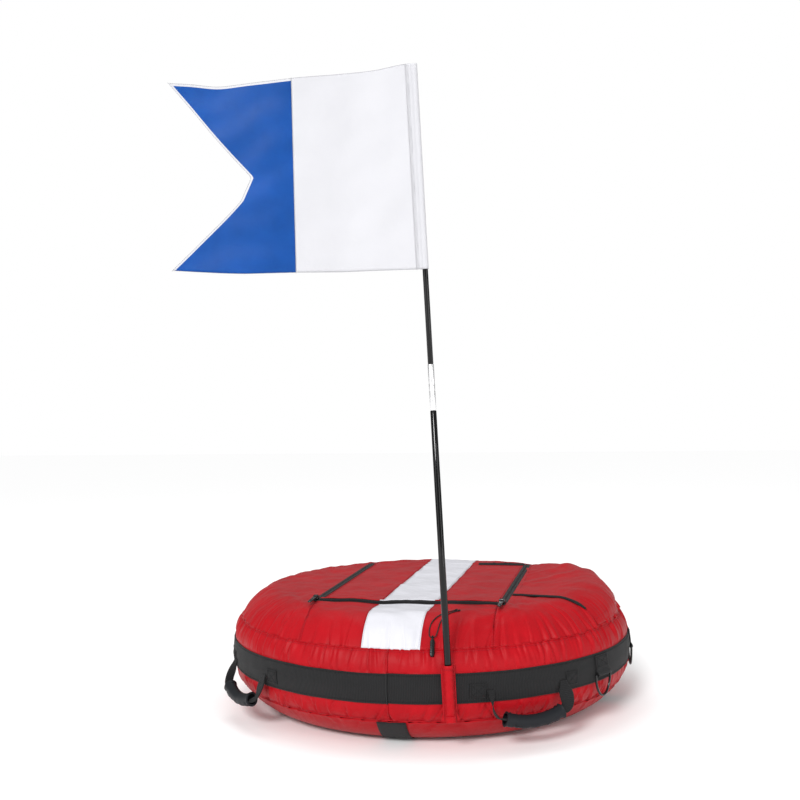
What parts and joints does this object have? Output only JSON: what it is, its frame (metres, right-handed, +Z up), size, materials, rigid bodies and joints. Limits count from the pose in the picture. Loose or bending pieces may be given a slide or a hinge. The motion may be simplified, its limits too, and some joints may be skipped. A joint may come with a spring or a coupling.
{
  "type": "dive flag float",
  "caption": "Round inflated float in a red cover with a white stripe, a zipped lid, carry handles, D-rings and a flag on a jointed pole.",
  "frame": {"origin": "on the floor under the middle of the float, on the underside of the bottom strap", "axes": "+Z up, -Y to the front, where the pole stands, +X to the right seen from the front"},
  "size_m": [0.8156, 0.9106, 1.1718],
  "materials": {
    "aluminium": "satin",
    "black_cord": "braided",
    "black_glass_fibre": "smooth rod",
    "black_metal": "painted",
    "black_plastic": "moulded",
    "black_rubber": "moulded",
    "black_webbing": "woven",
    "blue_flag_cloth": "smooth",
    "brass": "turned",
    "red_coated_nylon": "coated, satin",
    "white_coated_nylon": "coated, satin",
    "white_flag_cloth": "smooth"
  },
  "bodies": {
    "float": {"bottom_panel": "red_coated_nylon", "bottom_strap": "black_webbing", "bottom_strap_left": "black_webbing", "bottom_strap_right": "black_webbing", "cord_toggle": "black_plastic", "handle_tab_1a": "black_webbing", "handle_tab_1b": "black_webbing", "handle_tab_2a": "black_webbing", "handle_tab_2b": "black_webbing", "handle_tab_3a": "black_webbing", "handle_tab_3b": "black_webbing", "handle_tab_4a": "black_webbing", "handle_tab_4b": "black_webbing", "inner_tube": "black_rubber", "lid_zip": "black_plastic", "pocket_zip": "black_plastic", "pole_sleeve": "red_coated_nylon", "pull_cord": "black_cord", "rim_band": "black_webbing", "ring_tab_1": "black_webbing", "ring_tab_2": "black_webbing", "ring_tab_3": "black_webbing", "ring_tab_4": "black_webbing", "side_panel": "red_coated_nylon", "side_pocket": "red_coated_nylon", "stripe_back": "white_coated_nylon", "stripe_front": "white_coated_nylon", "top_panel_back_left": "red_coated_nylon", "top_panel_back_right": "red_coated_nylon", "top_panel_front_left": "red_coated_nylon", "top_panel_front_right": "red_coated_nylon", "top_panel_left": "red_coated_nylon", "top_panel_right": "red_coated_nylon", "valve_stem": "brass"},
    "lid": {"lid_panel_left": "red_coated_nylon", "lid_stripe": "white_coated_nylon", "lid_panel_right": "red_coated_nylon"},
    "slider_left": {"slider_left": "black_metal"},
    "slider_right": {"slider_right": "black_metal"},
    "pull_left": {"pull_left": "black_metal"},
    "pull_right": {"pull_right": "black_metal"},
    "lower_pole": {"lower_pole": "black_glass_fibre", "pole_ferrule": "aluminium"},
    "upper_pole": {"upper_pole": "black_glass_fibre"},
    "flag": {"flag_hem": "white_flag_cloth", "flag_white": "white_flag_cloth", "flag_blue": "blue_flag_cloth"},
    "valve_cap": {"valve_cap": "black_plastic"},
    "handle_1": {"handle_strap_1": "black_webbing", "handle_grip_1": "black_rubber"},
    "d_ring_1": {"d_ring_1": "black_metal"},
    "handle_2": {"handle_strap_2": "black_webbing", "handle_grip_2": "black_rubber"},
    "d_ring_2": {"d_ring_2": "black_metal"},
    "handle_3": {"handle_strap_3": "black_webbing", "handle_grip_3": "black_rubber"},
    "d_ring_3": {"d_ring_3": "black_metal"},
    "handle_4": {"handle_strap_4": "black_webbing", "handle_grip_4": "black_rubber"},
    "d_ring_4": {"d_ring_4": "black_metal"}
  },
  "joints": [
    {"name": "lid_hinge", "type": "hinge", "parent": "float", "child": "lid", "pos_m": [0, 0.2275, 0.2257], "axis": [-1, 0, 0], "range_deg": [0, 150]},
    {"name": "slider_left_slide", "type": "slide", "parent": "float", "child": "slider_left", "axis": [0, 1, 0], "range_m": [0, 0.4]},
    {"name": "pull_left_hinge", "type": "hinge", "parent": "slider_left", "child": "pull_left", "pos_m": [-0.177, -0.2243, 0.2343], "axis": [-1, 0, 0], "range_deg": [0, 150]},
    {"name": "slider_right_slide", "type": "slide", "parent": "float", "child": "slider_right", "axis": [0, 1, 0], "range_m": [0, 0.4]},
    {"name": "pull_right_hinge", "type": "hinge", "parent": "slider_right", "child": "pull_right", "pos_m": [0.177, -0.2243, 0.2343], "axis": [-1, 0, 0], "range_deg": [0, 150]},
    {"name": "lower_pole_slide", "type": "slide", "parent": "float", "child": "lower_pole", "axis": [-0.0377, -0.0102, 0.9992], "range_m": [0, 0.09]},
    {"name": "upper_pole_slide", "type": "slide", "parent": "lower_pole", "child": "upper_pole", "axis": [-0.0377, -0.0102, 0.9992], "range_m": [0, 0.038]},
    {"name": "flag_turn", "type": "hinge", "parent": "upper_pole", "child": "flag", "pos_m": [0.10742, -0.39537, 0.06], "axis": [-0.0377, -0.0102, 0.9992], "continuous": true},
    {"name": "valve_cap_turn", "type": "hinge", "parent": "float", "child": "valve_cap", "pos_m": [0.0975, 0.16888, 0.11315], "axis": [-0.5, -0.866, 0], "range_deg": [0, 1080]},
    {"name": "handle_1_swing", "type": "hinge", "parent": "float", "child": "handle_1", "pos_m": [0.23094, -0.32257, 0.105], "axis": [-0.8131, -0.5821, 0], "range_deg": [0, 140]},
    {"name": "handle_2_swing", "type": "hinge", "parent": "float", "child": "handle_2", "pos_m": [0.29941, 0.26027, 0.105], "axis": [0.6561, -0.7547, 0], "range_deg": [0, 140]},
    {"name": "handle_3_swing", "type": "hinge", "parent": "float", "child": "handle_3", "pos_m": [-0.23094, 0.32257, 0.105], "axis": [0.8131, 0.5821, 0], "range_deg": [0, 140]},
    {"name": "handle_4_swing", "type": "hinge", "parent": "float", "child": "handle_4", "pos_m": [-0.29941, -0.26027, 0.105], "axis": [-0.6561, 0.7547, 0], "range_deg": [0, 140]},
    {"name": "d_ring_1_swing", "type": "hinge", "parent": "float", "child": "d_ring_1", "pos_m": [0.35551, -0.19302, 0.0985], "axis": [-0.4772, -0.8788, 0], "range_deg": [-8, 120]},
    {"name": "d_ring_2_swing", "type": "hinge", "parent": "float", "child": "d_ring_2", "pos_m": [0.40107, 0.0528, 0.0985], "axis": [0.1305, -0.9914, 0], "range_deg": [-8, 120]},
    {"name": "d_ring_3_swing", "type": "hinge", "parent": "float", "child": "d_ring_3", "pos_m": [-0.35551, 0.19303, 0.0985], "axis": [0.4772, 0.8788, 0], "range_deg": [-8, 120]},
    {"name": "d_ring_4_swing", "type": "hinge", "parent": "float", "child": "d_ring_4", "pos_m": [-0.40107, -0.0528, 0.0985], "axis": [-0.1305, 0.9914, 0], "range_deg": [-8, 120]}
  ]
}
